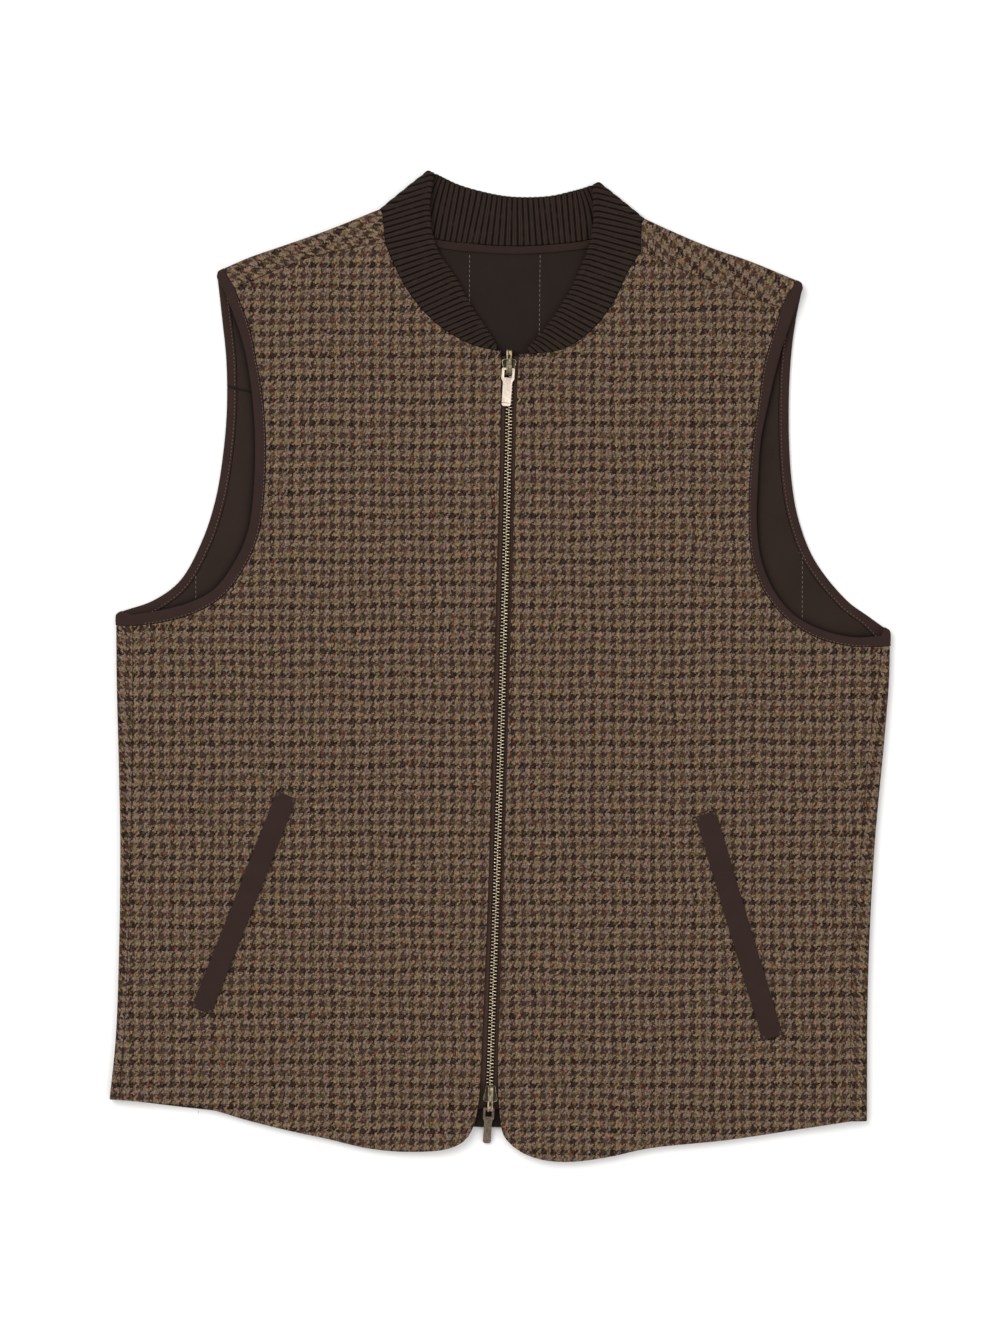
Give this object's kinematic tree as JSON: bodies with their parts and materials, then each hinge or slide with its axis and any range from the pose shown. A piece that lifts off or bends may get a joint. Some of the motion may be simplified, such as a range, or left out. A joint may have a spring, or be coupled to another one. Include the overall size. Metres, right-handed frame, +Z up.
{
  "type": "zip-front tweed waistcoat",
  "caption": "Sleeveless zip-front tweed waistcoat laid flat, with a rib-knit stand collar, bound armholes and slanted welt pockets.",
  "frame": {"origin": "centre of the laid-out waistcoat's outline, on the surface it lies on", "axes": "+Z up from the surface, out of the fronts; +Y from the hem towards the collar; +X to the viewer's right, the wearer's left"},
  "size_m": [0.5462, 0.6918, 0.0121],
  "materials": {
    "tweed": "woven wool houndstooth check, brushed",
    "lining": "plain satin-faced lining with stitched channels",
    "twill": "dark brown cotton twill",
    "rib_knit": "rib knit wool",
    "zip_tape": "woven zip tape",
    "zip_brass": "antique brass",
    "zip_pull": "satin, bare of lettering"
  },
  "bodies": {
    "cloth": {"back_panel": "tweed", "back_lining": "lining", "neck_tape": "twill", "front_right": "tweed", "front_left": "tweed", "collar_rib": "rib_knit", "armhole_binding_right": "twill", "armhole_binding_left": "twill", "pocket_welt_right": "twill", "pocket_welt_left": "twill", "zip_tape_right": "zip_tape", "zip_tape_left": "zip_tape", "zip_chain": "zip_brass", "zip_slider_upper": "zip_brass", "zip_slider_lower": "zip_brass"},
    "upper_pull": {"zip_pull_upper": "zip_pull"},
    "lower_pull": {"zip_pull_lower": "zip_pull"}
  },
  "joints": [
    {"name": "upper_pull_hinge", "type": "hinge", "parent": "cloth", "child": "upper_pull", "pos_m": [0.00658, 0.2073, 0.0096], "axis": [-0.9999, 0.0105, 0], "range_deg": [0, 140]},
    {"name": "lower_pull_hinge", "type": "hinge", "parent": "cloth", "child": "lower_pull", "pos_m": [-0.00759, -0.30809, 0.0096], "axis": [-0.9996, 0.0267, 0], "range_deg": [0, 150]}
  ]
}
